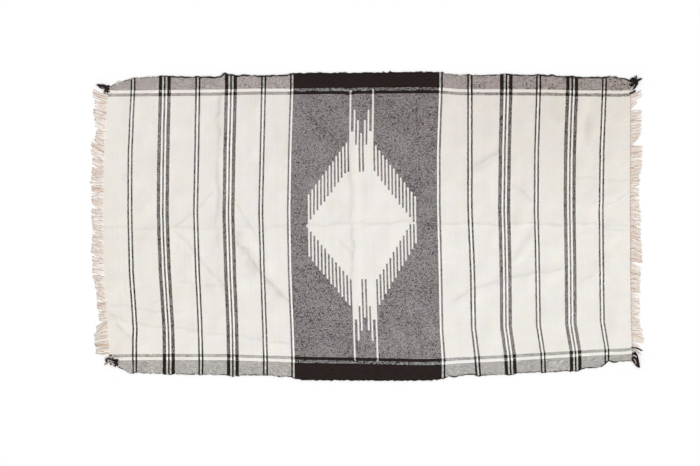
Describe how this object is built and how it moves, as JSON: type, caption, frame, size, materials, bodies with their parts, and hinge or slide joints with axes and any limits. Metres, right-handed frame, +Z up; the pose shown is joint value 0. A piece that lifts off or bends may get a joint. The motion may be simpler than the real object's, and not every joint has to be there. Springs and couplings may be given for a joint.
{
  "type": "throw rug",
  "caption": "Flat hand-woven throw rug with cross stripes, a serrated centre lozenge, warp fringes at both ends and knotted corners.",
  "frame": {"origin": "centre of the rug's bounding box, on the floor it lies on", "axes": "+X along the warps towards the right fringe, +Y across the rug towards its upper long edge, +Z up from the floor"},
  "size_m": [2.4474, 1.3664, 0.0135],
  "materials": {
    "cloth": "matt hand-spun wool, cream with dark brown stripes",
    "fringe": "matt cream wool yarn ends",
    "knots": "matt dark brown wool yarn"
  },
  "bodies": {
    "root": {"cloth": "cloth", "fringe_left": "fringe", "fringe_right": "fringe", "tie_upper_left": "knots", "tie_upper_right": "knots", "tie_lower_left": "knots", "tie_lower_right": "knots"}
  },
  "joints": []
}
